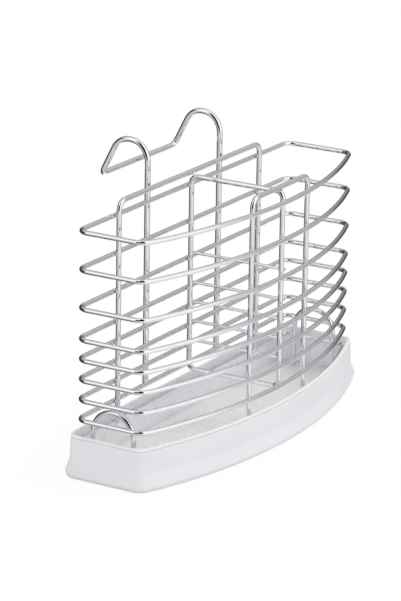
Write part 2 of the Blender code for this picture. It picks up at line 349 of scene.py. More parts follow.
def upright_paths():
    """Middle line of every wire that isn't a ring: name -> (points, closed, gauge)."""
    scene = bpy.context.scene
    frames, hooks, making = scene.drainer_frames, scene.drainer_hooks, scene.drainer_making
    steps, sink = making.bend_steps, making.weld_sink
    paths = {}

    for node, push in zip(FRAMES, (sink, -sink)):
        low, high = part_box(node)
        y = middle(node).y + push
        half = span(node).x / 2 - frames.gauge / 2
        top = high.z - frames.gauge / 2 - sink
        corners = [(-half, low.z), (-half, top), (half, top), (half, low.z)]
        path = rounded(corners, (0, frames.corner, frames.corner, 0), steps)
        paths[node] = ([(x, y, z) for x, z in path], False, frames.gauge)

    low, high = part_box("divider_loop")
    inset = frames.gauge / 2
    back, front = high.y - inset + sink, low.y + inset - sink
    corners = [(back, high.z - inset), (front, high.z - inset), (front, low.z + inset), (back, low.z + inset)]
    path = rounded(corners, (frames.loop_corner,) * len(corners), steps)
    paths["divider_loop"] = ([(0, y, z) for y, z in path], True, frames.gauge)

    for node in BARS:
        low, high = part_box(node)
        x, z = middle(node).x - sink, middle(node).z
        paths[node] = ([(x, high.y, z), (x, low.y, z)], False, frames.bar_gauge)

    paths["hook_wire"] = (hook_points(), False, hooks.gauge)
    for node, side in zip(ARCHES, (-1, 1)):
        paths[node] = (arch_points(node, side), False, scene.drainer_arches.gauge)
    return paths


def hook_points():
    """One wire: up a leg, over its hook, across to the other hook and down again."""
    scene = bpy.context.scene
    hooks, making = scene.drainer_hooks, scene.drainer_making
    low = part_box("hook_wire")[0]
    half = span("hook_wire").x / 2 - hooks.gauge / 2
    leg_y = low.y + hooks.gauge / 2 - making.weld_sink
    centre_z = ring_level(1) + hooks.top_rise
    side = [(leg_y, low.z)]
    side += arc((leg_y + hooks.radius, centre_z), hooks.radius, math.pi, math.pi - hooks.turn, making.bend_steps * 2)
    slope = hooks.turn - QUARTER
    down = Vector((0, math.cos(slope), -math.sin(slope)))
    tip = Vector((0, *side[-1])) + down * (hooks.slant - hooks.corner)
    left = [(-half, y, z) for y, z in side]
    for across, along in arc((hooks.corner, 0), hooks.corner, math.pi, QUARTER, making.bend_steps):
        left.append(tuple(tip + down * along + Vector((across - half, 0, 0))))
    return left + [(-x, y, z) for x, y, z in reversed(left)]


def arch_points(node, side):
    """A round-topped arch from foot to foot."""
    scene = bpy.context.scene
    gauge = scene.drainer_arches.gauge
    x = middle(node).x + side * (scene.drainer_making.weld_sink - scene.drainer_rings.end_tuck)
    radius = span(node).y / 2 - gauge / 2
    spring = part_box(node)[1].z - gauge / 2 - radius
    foot = scene.drainer_tray.floor + scene.drainer_arches.foot_gap
    middle_y = middle(node).y
    path = [(middle_y - radius, foot)]
    path += arc((middle_y, spring), radius, math.pi, 0, scene.drainer_making.bend_steps * 2)
    path += [(middle_y + radius, foot)]
    return [(x, y, z) for y, z in path]


def put(name, data):
    """A new object in the scene."""
    made = bpy.data.objects.new(name, data)
    bpy.context.scene.collection.objects.link(made)
    return made


# Node trees


def live(sockets):
    """A node's sockets in use, by name."""
    return {socket.name: socket for socket in sockets if socket.enabled}


def feed(tree, sockets, values):
    """Links sockets, or fills them in."""
    for key, value in values.items():
        if isinstance(value, bpy.types.NodeSocket):
            tree.links.new(value, sockets[key])
        else:
            sockets[key].default_value = value


def add_step(tree, kind, inputs=None, **settings):
    """A node with its settings made and its inputs linked or filled in."""
    node = tree.nodes.new(kind)
    for name, value in settings.items():
        setattr(node, name, value)
    feed(tree, node.inputs, inputs or {})
    return node


def maths(tree, operation, *values, **settings):
    """A sum of one, two or three values."""
    return add_step(tree, "ShaderNodeMath", dict(enumerate(values)), operation=operation, **settings).outputs[0]


def vector_maths(tree, operation, first, second):
    """Vector of a vector sum; a plain number on the second place scales the first."""
    key = "Scale" if operation == "SCALE" else 1
    return add_step(tree, "ShaderNodeVectorMath", {0: first, key: second}, operation=operation).outputs[0]


def smooth_range(tree, value, start, end):
    """0 at the start, 1 at the end and smooth between them."""
    reach = {"Value": value, "From Min": start, "From Max": end, "To Min": 0.0, "To Max": 1.0}
    if start > end:
        reach |= {"From Min": end, "From Max": start, "To Min": 1.0, "To Max": 0.0}
    return add_step(tree, "ShaderNodeMapRange", reach, interpolation_type="SMOOTHSTEP").outputs[0]


def mix(tree, kind, amount, first, second):
    """A mix of two values or colours, each a socket or plain."""
    node = add_step(tree, "ShaderNodeMix", data_type=kind)
    feed(tree, live(node.inputs), {"Factor": amount, "A": first, "B": second})
    return live(node.outputs)["Result"]


def blend_colours(tree, amount, first, second):
    colours = [value if isinstance(value, bpy.types.NodeSocket) else (*value, 1) for value in (first, second)]
    return mix(tree, "RGBA", amount, *colours)


def noise(tree, place, scale, detail):
    """Noise from 0 to 1, by its repeats a metre and its finer detail."""
    return add_step(tree, "ShaderNodeTexNoise", {"Vector": place, "Scale": scale, "Detail": detail}).outputs["Fac"]


def cells(tree, place, scale, feature):
    """Distance from the middles of uneven cells."""
    inputs = {"Vector": place, "Scale": scale, "Randomness": 1.0}
    return add_step(tree, "ShaderNodeTexVoronoi", inputs, feature=feature).outputs["Distance"]


def open_tree(name, kind, inputs, outputs):
    """A node group with named sockets, and the sockets of its two end nodes."""
    tree = bpy.data.node_groups.new(name, kind)
    for socket, socket_type, default in inputs:
        item = tree.interface.new_socket(socket, in_out="INPUT", socket_type=socket_type)
        if default is not None:
            item.default_value = default
    for socket, socket_type in outputs:
        tree.interface.new_socket(socket, in_out="OUTPUT", socket_type=socket_type)
    return tree, tree.nodes.new("NodeGroupInput").outputs, tree.nodes.new("NodeGroupOutput").inputs


FLOAT, VECTOR, COLOUR = "NodeSocketFloat", "NodeSocketVector", "NodeSocketColor"
GEOMETRY, WHOLE, MATERIAL = "NodeSocketGeometry", "NodeSocketInt", "NodeSocketMaterial"


def wire_tree():
    """Sweeps a round wire along a path, a little wavy, with rounded cut ends."""
    existing = bpy.data.node_groups.get("Drawn wire")
    if existing:
        return existing
    inputs = [
        ("Path", GEOMETRY, None),
        ("Gauge", FLOAT, 0.003),
        ("Sides", WHOLE, 20),
        ("Wave", FLOAT, 0.0001),
        ("Wave length", FLOAT, 0.03),
        ("End rounding", FLOAT, 0.0004),
        ("Seed", FLOAT, 0.0),
        ("Finish", MATERIAL, None),
    ]
    tree, given, result = open_tree("Drawn wire", "GeometryNodeTree", inputs, [("Wire", GEOMETRY)])
    place = tree.nodes.new("GeometryNodeInputPosition").outputs[0]
    waves = maths(tree, "DIVIDE", 1.0, given["Wave length"])
    inputs = {"Vector": place, "W": given["Seed"], "Scale": waves, "Detail": 1.0}
    drift = add_step(tree, "ShaderNodeTexNoise", inputs, noise_dimensions="4D").outputs["Color"]
    centred = vector_maths(tree, "SUBTRACT", drift, (NOISE_MIDDLE,) * 3)
    doubled = maths(tree, "MULTIPLY", given["Wave"], 2.0)
    stray = vector_maths(tree, "SCALE", centred, doubled)
    moved = add_step(tree, "GeometryNodeSetPosition", {"Geometry": given["Path"], "Offset": stray}).outputs[0]

    along = tree.nodes.new("GeometryNodeSplineParameter").outputs["Length"]
    whole = tree.nodes.new("GeometryNodeSplineLength").outputs["Length"]
    cyclic = tree.nodes.new("GeometryNodeInputSplineCyclic").outputs[0]
    to_end = maths(tree, "MINIMUM", along, maths(tree, "SUBTRACT", whole, along))
    near = maths(tree, "DIVIDE", to_end, given["End rounding"], use_clamp=True)
    gone = maths(tree, "SUBTRACT", 1.0, near)
    curve = maths(tree, "SQRT", maths(tree, "SUBTRACT", 1.0, maths(tree, "MULTIPLY", gone, gone)))
    end_radius = maths(tree, "MULTIPLY_ADD", curve, 1 - END_FACE, END_FACE)
    radius = maths(tree, "MAXIMUM", end_radius, cyclic)
    kept = add_step(tree, "GeometryNodeCaptureAttribute", {"Geometry": moved})
    kept.capture_items.new("FLOAT", "Along")
    tree.links.new(along, kept.inputs["Along"])

    half = maths(tree, "DIVIDE", given["Gauge"], 2.0)
    circle = add_step(tree, "GeometryNodeCurvePrimitiveCircle", {"Resolution": given["Sides"], "Radius": half})
    around = add_step(tree, "GeometryNodeCaptureAttribute", {"Geometry": circle.outputs["Curve"]})
    around.capture_items.new("VECTOR", "Around")
    tree.links.new(place, around.inputs["Around"])

    path, profile = kept.outputs["Geometry"], around.outputs["Geometry"]
    inputs = {"Curve": path, "Profile Curve": profile, "Scale": radius, "Fill Caps": True}
    sweep = add_step(tree, "GeometryNodeCurveToMesh", inputs).outputs[0]
    across = add_step(tree, "ShaderNodeSeparateXYZ", {0: around.outputs["Around"]}).outputs
    run = add_step(tree, "ShaderNodeCombineXYZ", {0: across[0], 1: across[1], 2: kept.outputs["Along"]}).outputs[0]
    finish_tree(tree, sweep, run, given["Finish"], result[0])
    return tree


def finish_tree(tree, geometry, run, material, result):
    """The end of every tree: real geometry that keeps its run, smooth and in its finish."""
    real = add_step(tree, "GeometryNodeRealizeInstances", {0: geometry}).outputs[0]
    inputs = {"Geometry": real, "Name": RUN, "Value": run}
    named = add_step(tree, "GeometryNodeStoreNamedAttribute", inputs, data_type="FLOAT_VECTOR", domain="POINT")
    smooth = add_step(tree, "GeometryNodeSetShadeSmooth", {0: named.outputs[0]}).outputs[0]
    painted = add_step(tree, "GeometryNodeSetMaterial", {"Geometry": smooth, "Material": material}).outputs[0]
    tree.links.new(painted, result)


def weld_tree():
    """Sets a small squashed nugget at each crossing, turned to the two wires that it joins."""
    inputs = [
        ("Crossings", GEOMETRY, None),
        ("Spread", FLOAT, 0.001),
        ("Height", FLOAT, 0.0005),
        ("Unevenness", FLOAT, 0.15),
        ("Seed", WHOLE, 1),
        ("Finish", MATERIAL, None),
    ]
    tree, given, result = open_tree("Resistance welds", "GeometryNodeTree", inputs, [("Welds", GEOMETRY)])
    sphere = add_step(tree, "GeometryNodeMeshUVSphere", {"Segments": 12, "Rings": 6, "Radius": 1.0}).outputs["Mesh"]
    press, along, scale = (
        add_step(tree, "GeometryNodeInputNamedAttribute", {"Name": name}, data_type=kind).outputs[0]
        for name, kind in ((PRESS, "FLOAT_VECTOR"), (ALONG, "FLOAT_VECTOR"), (WELD_SIZE, "FLOAT"))
    )
    axes = {"Primary Axis": press, "Secondary Axis": along}
    pose = add_step(tree, "FunctionNodeAxesToRotation", axes, primary_axis="Z", secondary_axis="X").outputs[0]
    low = maths(tree, "SUBTRACT", 1.0, given["Unevenness"])
    high = maths(tree, "ADD", 1.0, given["Unevenness"])
    sizes = []
    for salt, size in enumerate((given["Spread"], given["Spread"], given["Height"])):
        seed = maths(tree, "ADD", given["Seed"], float(salt))
        uneven = add_step(tree, "FunctionNodeRandomValue", {"Seed": seed}, data_type="FLOAT")
        feed(tree, live(uneven.inputs), {"Min": low, "Max": high})
        sizes.append(maths(tree, "MULTIPLY", maths(tree, "MULTIPLY", live(uneven.outputs)["Value"], size), scale))
    size = add_step(tree, "ShaderNodeCombineXYZ", dict(enumerate(sizes))).outputs[0]
    inputs = {"Points": given["Crossings"], "Instance": sphere, "Rotation": pose, "Scale": size}
    placed = add_step(tree, "GeometryNodeInstanceOnPoints", inputs).outputs[0]
    # A nugget has no length of its own, so its run is its place
    place = tree.nodes.new("GeometryNodeInputPosition").outputs[0]
    finish_tree(tree, placed, place, given["Finish"], result[0])
    return tree


def shape_with(tree, data, values):
    """The mesh that a tree makes of a path or points, which are removed with the modifier."""
    source = put(data.name, data)
    modifier = source.modifiers.new(tree.name, "NODES")
    modifier.node_group = tree
    sockets = {item.name: item.identifier for item in tree.interface.items_tree if item.in_out == "INPUT"}
    for name, value in values.items():
        modifier[sockets[name]] = value
    depsgraph = bpy.context.evaluated_depsgraph_get()
    mesh = bpy.data.meshes.new_from_object(source.evaluated_get(depsgraph), depsgraph=depsgraph)
    bpy.data.objects.remove(source)
    stock = bpy.data.curves if isinstance(data, bpy.types.Curve) else bpy.data.meshes
    stock.remove(data)
    if not mesh.polygons:
        raise RuntimeError(f"{tree.name} made no faces")
    return mesh


def add_piece(name, mesh, body, slot, *nodes):
    """A finished piece that rides on its body and stands for its CAD nodes."""
    mesh.name = name
    piece = put(name, mesh)
    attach(piece, body)
    if nodes:
        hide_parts(*nodes)


def draw_wire(node, points, closed, gauge, finish, slot, seed):
    """One wire of the basket, in place of its CAD node."""
    making = bpy.context.scene.drainer_making
    path = spaced(points, making.spacing, closed)
    if not closed:
        path = close_set_ends(path, making.end_round)
    data = bpy.data.curves.new(node, "CURVE")
    data.dimensions = "3D"
    spline = data.splines.new("POLY")
    spline.points.add(len(path) - 1)
    for place, point in zip(spline.points, path):
        place.co = (*point, 1)
    spline.use_cyclic_u = closed
    values = {
        "Gauge": gauge,
        "Sides": making.sides,
        "Wave": making.wave,
        "Wave length": making.wave_length,
        "End rounding": making.end_round,
        "Seed": float(seed),
        "Finish": finish,
    }
    add_piece(f"{node}_wire", shape_with(wire_tree(), data, values), BASKET, slot, node)


def draw_uprights(nodes, finish, slot, seed):
    """Wires that aren't rings, in one finish."""
    paths = upright_paths()
    for number, node in enumerate(nodes, start=seed):
        draw_wire(node, *paths[node], finish, slot, number)


def close_set_ends(path, reach):
    """Extra points near both cut ends, where the wire is rounded over."""
    start = (path[1] - path[0]).normalized()
    end = (path[-2] - path[-1]).normalized()
    head = [path[0] + start * reach * part for part in END_SHARES]
    tail = [path[-1] + end * reach * part for part in reversed(END_SHARES)]
    return [path[0]] + head + path[1:-1] + tail + [path[-1]]


# Finishes

# Patterns on the chrome: repeats a metre, and how much finer detail they have
LINES, PEEL, CLOUDS = (4200.0, 3.0), (700.0, 2.0), (95.0, 4.0)
LINE_STRETCH = (1.0, 1.0, 0.03)
DROPS = 210.0
# Where the haze's clouds and its dried drops fade in
CLOUD_EDGE, DROP_EDGE = (0.5, 0.78), (0.22, 0.10)
DROP_HAZE = 0.45
HAZE_ROUGHNESS, LINE_ROUGHNESS = 0.12, 0.02
LINE_HEIGHT = 0.35
CHROME_BUMP = {"Strength": 0.12, "Distance": 0.00002}

# Patterns on the plastic, in the same way. The flow marks are long, so they repeat differently along X, Y and Z
GRAIN, MOTTLE, FLOW = (1500.0, 2.0), (420.0, 2.0), (1.0, 3.0)
FLOW_REPEATS = (14.0, 22.0, 60.0)
PEBBLES = 480.0
FLOW_EDGE, PEBBLE_EDGE = (0.42, 0.72), (0.2, 0.8)
FLOW_SHARE = 0.5
# What the mottle adds to the outside's marks, to the inside's hollows and to the roughness
OUTER_MOTTLE, INNER_MOTTLE, ROUGH_MOTTLE = 0.3, 0.8, 0.2
PEBBLE_HEIGHT = 1.6
PLASTIC_BUMP = {"Strength": 0.3, "Distance": 0.0001}
PLASTIC_IOR = 1.49
# Red, green and blue light reach this far into the plastic, in shares of its milk's depth
MILK_REACH = (1.0, 1.0, 1.1)


def plating_group():
    """Chrome over drawn wire: faint lines along the wire, an uneven haze and dried drops."""
    existing = bpy.data.node_groups.get("Plated wire")
    if existing:
        return existing
    inputs = [
        ("Run", VECTOR, None),
        ("Place", VECTOR, None),
        ("Plating", COLOUR, (0.9, 0.9, 0.9, 1)),
        ("Haze colour", COLOUR, (0.7, 0.7, 0.7, 1)),
        ("Haze", FLOAT, 0.5),
        ("Polish", FLOAT, 0.06),
    ]
    outputs = [("Colour", COLOUR), ("Roughness", FLOAT), ("Height", FLOAT)]
    tree, given, result = open_tree("Plated wire", "ShaderNodeTree", inputs, outputs)
    drawn = vector_maths(tree, "MULTIPLY", given["Run"], LINE_STRETCH)
    lines = noise(tree, drawn, *LINES)
    peel = noise(tree, given["Place"], *PEEL)
    veil = smooth_range(tree, noise(tree, given["Place"], *CLOUDS), *CLOUD_EDGE)
    spots = smooth_range(tree, cells(tree, given["Place"], DROPS, "F1"), *DROP_EDGE)
    soiled = maths(tree, "MAXIMUM", veil, maths(tree, "MULTIPLY", spots, DROP_HAZE))
    amount = maths(tree, "MULTIPLY", soiled, given["Haze"])
    rough = maths(tree, "MULTIPLY_ADD", amount, HAZE_ROUGHNESS, given["Polish"])
    made = {
        "Colour": blend_colours(tree, amount, given["Plating"], given["Haze colour"]),
        "Roughness": maths(tree, "MULTIPLY_ADD", lines, LINE_ROUGHNESS, rough),
        "Height": maths(tree, "MULTIPLY_ADD", lines, LINE_HEIGHT, peel),
    }
    feed(tree, result, made)
    return tree


def start_material(name):
    material = bpy.data.materials.new(name)
    material.use_nodes = True
    return material, material.node_tree


def read_mark(tree, name):
    """An attribute of the mesh."""
    return add_step(tree, "ShaderNodeAttribute", attribute_name=name, attribute_type="GEOMETRY").outputs


def chrome(name, colour, haze, polish=None):
    """Bright chrome plate on wire."""
    finishes = bpy.context.scene.drainer_finishes
    material, tree = start_material(name)
    values = {
        "Run": read_mark(tree, RUN)["Vector"],
        "Place": tree.nodes.new("ShaderNodeTexCoord").outputs["Object"],
        "Plating": (*colour, 1),
        "Haze colour": (*finishes.tarnish, 1),
        "Haze": haze,
        "Polish": finishes.polish if polish is None else polish,
    }
    surface = add_step(tree, "ShaderNodeGroup", values, node_tree=plating_group()).outputs
    looks = {
        "Metallic": 1.0,
        "Base Color": surface["Colour"],
        "Roughness": surface["Roughness"],
        "Normal": add_step(tree, "ShaderNodeBump", CHROME_BUMP | {"Height": surface["Height"]}).outputs[0],
    }
    feed(tree, tree.nodes["Principled BSDF"].inputs, looks)
    return material


def frosted_plastic():
    """Frosted, slightly milky moulding with soft flow marks outside and a fine pebbled texture inside. The groove
    under the rim is painted darker as painted shade, and the inside is painted whiter, partly as painted light that
    comes through the walls.
    """
    finishes = bpy.context.scene.drainer_finishes
    material, tree = start_material("frosted_plastic_moulding")
    place = tree.nodes.new("ShaderNodeTexCoord").outputs["Object"]
    inside, grooved = (read_mark(tree, name)["Fac"] for name in (INSIDE, GROOVED))
    flow_run = add_step(tree, "ShaderNodeMapping", {"Vector": place, "Scale": FLOW_REPEATS}).outputs[0]
    marks = smooth_range(tree, noise(tree, flow_run, *FLOW), *FLOW_EDGE)
    uneven = maths(tree, "SUBTRACT", noise(tree, place, *MOTTLE), NOISE_MIDDLE)
    pebbles = cells(tree, place, PEBBLES, "SMOOTH_F1")

    marks = maths(tree, "MULTIPLY", marks, FLOW_SHARE)
    marks = maths(tree, "MULTIPLY_ADD", uneven, OUTER_MOTTLE, marks, use_clamp=True)
    outer = blend_colours(tree, marks, finishes.plastic, finishes.plastic_shade)
    # Painted shade in the groove under the rim
    outer = blend_colours(tree, grooved, outer, finishes.painted_groove_shade)
    hollows = smooth_range(tree, pebbles, *PEBBLE_EDGE)
    hollows = maths(tree, "MULTIPLY_ADD", uneven, INNER_MOTTLE, hollows, use_clamp=True)
    # Painted light: the whiter inside stands partly for light that comes through the walls
    inner = blend_colours(tree, hollows, finishes.inside, finishes.inside_shade)
    relief = maths(tree, "MULTIPLY", pebbles, inside)
    relief = maths(tree, "MULTIPLY_ADD", relief, PEBBLE_HEIGHT, noise(tree, place, *GRAIN))
    looks = {
        "Base Color": blend_colours(tree, inside, outer, inner),
        "Roughness": maths(tree, "MULTIPLY_ADD", uneven, ROUGH_MOTTLE, finishes.frost),
        "Normal": add_step(tree, "ShaderNodeBump", PLASTIC_BUMP | {"Height": relief}).outputs[0],
        "IOR": PLASTIC_IOR,
        "Subsurface Weight": finishes.milk,
        "Subsurface Radius": MILK_REACH,
        "Subsurface Scale": finishes.milk_depth,
    }
    feed(tree, tree.nodes["Principled BSDF"].inputs, looks)
    return material


# Pieces


class DRAINER_OT_rings(Operator):
    """Nine D-shaped rings of chromed wire, each welded into a loop"""

    bl_idname = "drainer.rings"
    bl_label = "Rings"

    def execute(self, context):
        rings, finishes = context.scene.drainer_rings, context.scene.drainer_finishes
        finish = chrome("ring_chrome", finishes.ring, finishes.ring_haze)
        plan = [(rings.joint_x, back_line())] + ring_plan()
        for number in range(1, RING_COUNT + 1):
            points = [(x, y, ring_level(number)) for x, y in plan]
            draw_wire(f"ring_{number}", points, True, rings.gauge, finish, "chrome_ring", number)
        return {"FINISHED"}


class DRAINER_OT_frames(Operator):
    """The two upright frames that hold the rings together"""

    bl_idname = "drainer.frames"
    bl_label = "Frames"

    def execute(self, context):
        finishes = context.scene.drainer_finishes
        finish = chrome("frame_chrome", finishes.frame, finishes.frame_haze)
        draw_uprights(FRAMES, finish, "chrome_frame", FRAME_SEED)
        return {"FINISHED"}


class DRAINER_OT_divider(Operator):
    """The upright loop between the two compartments, and its thin bars"""

    bl_idname = "drainer.divider"
    bl_label = "Divider"

    def execute(self, context):
        finishes = context.scene.drainer_finishes
        loop = chrome("divider_chrome", finishes.frame, finishes.frame_haze)
        draw_uprights(["divider_loop"], loop, "chrome_frame", DIVIDER_SEED)
        thin = chrome("bar_chrome", finishes.bar, finishes.bar_haze)
        draw_uprights(BARS, thin, "chrome_bar", DIVIDER_SEED + 1)
        return {"FINISHED"}


class DRAINER_OT_hooks(Operator):
    """The heavy wire with the two hooks that go over a rail"""

    bl_idname = "drainer.hooks"
    bl_label = "Hooks"

    def execute(self, context):
        finishes = context.scene.drainer_finishes
        finish = chrome("hook_chrome", finishes.hook, finishes.hook_haze)
        draw_uprights(["hook_wire"], finish, "chrome_hook", HOOK_SEED)
        return {"FINISHED"}


class DRAINER_OT_arches(Operator):
    """The arch inside each end, on whose feet the basket stands"""

    bl_idname = "drainer.arches"
    bl_label = "Arches"

    def execute(self, context):
        finishes = context.scene.drainer_finishes
        finish = chrome("arch_chrome", finishes.ring, finishes.ring_haze)
        draw_uprights(ARCHES, finish, "chrome_ring", ARCH_SEED)
        return {"FINISHED"}


class DRAINER_OT_welds(Operator):
    """The small weld nuggets where wires cross"""

    bl_idname = "drainer.welds"
    bl_label = "Welds"

    def execute(self, context):
        making, finishes = context.scene.drainer_making, context.scene.drainer_finishes
        crossings = find_crossings()
        if not crossings:
            raise RuntimeError("no wires cross")
        places, presses, alongs, sizes = zip(*crossings)
        mesh = bpy.data.meshes.new("crossings")
        mesh.from_pydata(places, [], [])
        for name, vectors in ((PRESS, presses), (ALONG, alongs)):
            data = mesh.attributes.new(name, "FLOAT_VECTOR", "POINT").data
            data.foreach_set("vector", [number for vector in vectors for number in vector])
        mesh.attributes.new(WELD_SIZE, "FLOAT", "POINT").data.foreach_set("value", sizes)
        values = {
            "Spread": making.weld_spread,
            "Height": making.weld_height,
            "Unevenness": making.weld_unevenness,
            "Seed": making.weld_seed,
            "Finish": chrome("weld_chrome", finishes.weld, finishes.weld_haze, finishes.weld_polish),
        }
        add_piece("weld_nuggets", shape_with(weld_tree(), mesh, values), BASKET, "chrome_ring")
        return {"FINISHED"}


def find_crossings():
    """Every weld as (place, press, along, size): ring to upright, bar to divider, divider to frame."""
    scene = bpy.context.scene
    frames, making = scene.drainer_frames, scene.drainer_making
    ring_radius = scene.drainer_rings.gauge / 2
    paths = upright_paths()
    plan = [Vector((*point, 0)) for point in ring_plan()]
    crossings = []
    for node, (points, closed, gauge) in paths.items():
        if node in BARS:
            continue
        for number in range(1, RING_COUNT + 1):
            for upright in legs_at(points, closed, ring_level(number)):
                near, along = nearest_on_ring(plan, upright)
                apart = Vector((near.x - upright.x, near.y - upright.y, 0))
                if apart.length > ring_radius + gauge / 2:
                    continue
                press = apart.normalized()
                place = upright + press * (apart.length + gauge / 2 - ring_radius) / 2
                crossings.append((place, press, along, 1.0))
    depths, levels = zip(*[(y, z) for x, y, z in paths["divider_loop"][0]])
    for node in BARS:
        bar_x, _, bar_z = paths[node][0][0]
        x = (bar_x - frames.bar_gauge / 2 + frames.gauge / 2) / 2
        for y in (max(depths), min(depths)):
            crossings.append(((x, y, bar_z), (1, 0, 0), (0, 1, 0), making.bar_weld))
    for node in FRAMES:
        points = paths[node][0]
        level = (max(levels) + max(z for x, y, z in points)) / 2
        crossings.append(((0, points[0][1], level), (0, 0, 1), (1, 0, 0), 1.0))
    return crossings


def legs_at(points, closed, level):
    """Where a wire passes a level."""
    pairs = zip(points, points[1:] + (points[:1] if closed else []))
    places = []
    for start, end in pairs:
        low, high = sorted((start[2], end[2]))
        if low < level <= high:
            places.append(Vector(start).lerp(Vector(end), (level - start[2]) / (end[2] - start[2])))
    return places


def nearest_on_ring(plan, place):
    """Nearest point of a ring's plan, and the way that the ring runs there."""
    best = None
    for start, end in zip(plan, plan[1:] + plan[:1]):
        run = end - start
        part = max(0, min(1, (Vector((place.x, place.y, 0)) - start).dot(run) / run.length_squared))
        near = start + run * part
        apart = (near.x - place.x) ** 2 + (near.y - place.y) ** 2
        if best is None or apart < best[0]:
            best = (apart, near, run.normalized())
    return best[1], best[2]


class DRAINER_OT_drip_tray(Operator):
    """The frosted drip tray under the basket"""

    bl_idname = "drainer.drip_tray"
    bl_label = "Drip tray"

    def execute(self, context):
        sizes = context.scene.drainer_tray
        top = span("drip_tray").z
        outside = sizes.clearance + sizes.rim_width
        groove_top = top - sizes.rim_fall
        groove_foot = groove_top - 2 * sizes.groove
        work = bmesh.new()
        inside_mark, groove_mark = (work.verts.layers.float.new(name) for name in (INSIDE, GROOVED))
        rows = []
        # The inside, up to the flat of the rim, is painted whiter, partly as painted light
        inside = 1.0
        for offset, level in tray_section():
            growth = offset - outside
            plan = plan_around(offset, max(sizes.back_corner + growth, 0), max(sizes.front_corner + growth, 0))
            rows.append([work.verts.new((x, y, level)) for x, y in plan])
            # The inside ends on the flat of the rim
            if min(offset - sizes.clearance, level - top + sizes.rim_round) > sizes.rim_round / 2:
                inside = 0.0
            # The groove under the rim gets its painted shade from this mask
            grooved = 0.0
            if groove_foot < level < groove_top and not inside:
                grooved = max(0.0, min(1.0, -growth / sizes.groove))
            for vertex in rows[-1]:
                vertex[inside_mark], vertex[groove_mark] = inside, grooved
        for lower, upper in zip(rows, rows[1:]):
            for index in range(len(lower)):
                after = (index + 1) % len(lower)
                work.faces.new((lower[index], upper[index], upper[after], lower[after]))
        work.faces.new(rows[0])
        work.faces.new(list(reversed(rows[-1])))
        bmesh.ops.recalc_face_normals(work, faces=work.faces)
        mesh = bpy.data.meshes.new("drip_tray")
        work.to_mesh(mesh)
        work.free()
        mesh.shade_smooth()
        mesh.materials.append(frosted_plastic())
        add_piece("drip_tray_moulding", mesh, TRAY, "frosted_plastic", "drip_tray")
        return {"FINISHED"}


def tray_section():
    """Section of the tray's wall as (outward offset from the rings, height), from the floor to the underside."""
    scene = bpy.context.scene
    sizes = scene.drainer_tray
    top = span("drip_tray").z
    widest = span("drip_tray").x / 2 - scene.drainer_rings.width / 2
    inner = sizes.clearance
    outer = inner + sizes.rim_width
    shoulder = (inner + sizes.rim_land, top)
    inside = [
        (-sizes.sheet_edge, sizes.floor),
        (widest - sizes.rim_width - sizes.cove, sizes.floor),
        (inner + sizes.band_draft, sizes.band_foot),
        (inner, top),
        shoulder,
    ]
    outside = [
        (inner, top),
        shoulder,
        (outer, top - sizes.rim_fall),
        (outer - sizes.groove, top - sizes.rim_fall - sizes.groove),
        (outer + sizes.groove_foot, top - sizes.rim_fall - 2 * sizes.groove),
        (outer + sizes.band_draft, sizes.band_foot),
        (widest + sizes.foot_over, sizes.foot_height),
        (widest - sizes.foot_tuck, 0),
        (-sizes.sheet_edge, 0),
    ]
    steps, edge = sizes.corner_steps, sizes.rim_round
    soft = edge / 2
    path = rounded(inside, (0, sizes.cove, sizes.flare_blend, edge, 0), steps)[:-1]
    path += rounded(outside, (0, edge, soft, soft, soft, sizes.flare_blend, sizes.foot_round, edge, 0), steps)[1:]
    return [(point.x, point.y) for point in spaced([(*point, 0) for point in path], sizes.row_step, False)]


class DRAINER_OT_stage(Operator):
    """Pale floor, soft studio light and the camera"""

    bl_idname = "drainer.stage"
    bl_label = "Stage"

    def execute(self, context):
        lay_floor()
        light_studio()
        hang_lamp()
        place_camera()
        context.scene.view_settings.view_transform = "Standard"
        return {"FINISHED"}


def lay_floor():
    """A pale floor that is white to the camera but for the object's faint shadow."""
    settings = bpy.context.scene.drainer_stage
    reach = settings.floor_reach
    mesh = bpy.data.meshes.new("floor")
    corners = [(-reach, -reach, 0), (reach, -reach, 0), (reach, reach, 0), (-reach, reach, 0)]
    mesh.from_pydata(corners, [], [(0, 1, 2, 3)])
    floor = put("floor", mesh)
    floor.location.z = -settings.floor_drop
    floor.visible_glossy = False
    material, tree = start_material("pale_floor")
    tree.nodes.clear()
    matt = add_step(tree, "ShaderNodeBsdfDiffuse", {"Color": (*settings.floor_colour, 1)}).outputs[0]
    white = add_step(tree, "ShaderNodeEmission", {"Color": WHITE, "Strength": 1.0}).outputs[0]
    place = tree.nodes.new("ShaderNodeTexCoord").outputs["Object"]
    away = add_step(tree, "ShaderNodeVectorMath", {0: place}, operation="LENGTH").outputs["Value"]
    fade = {"Value": away, "From Min": settings.shadow_near, "From Max": settings.shadow_far}
    fade |= {"To Min": settings.floor_white, "To Max": 1.0}
    far = add_step(tree, "ShaderNodeMapRange", fade, interpolation_type="SMOOTHSTEP").outputs[0]
    paths = tree.nodes.new("ShaderNodeLightPath").outputs
    seen = maths(tree, "MAXIMUM", paths["Is Camera Ray"], paths["Is Glossy Ray"])
    seen = maths(tree, "MAXIMUM", seen, paths["Is Transmission Ray"])
    bleach = maths(tree, "MULTIPLY", seen, far)
    mixed = add_step(tree, "ShaderNodeMixShader", {0: bleach, 1: matt, 2: white}).outputs[0]
    add_step(tree, "ShaderNodeOutputMaterial", {"Surface": mixed})
    mesh.materials.append(material)


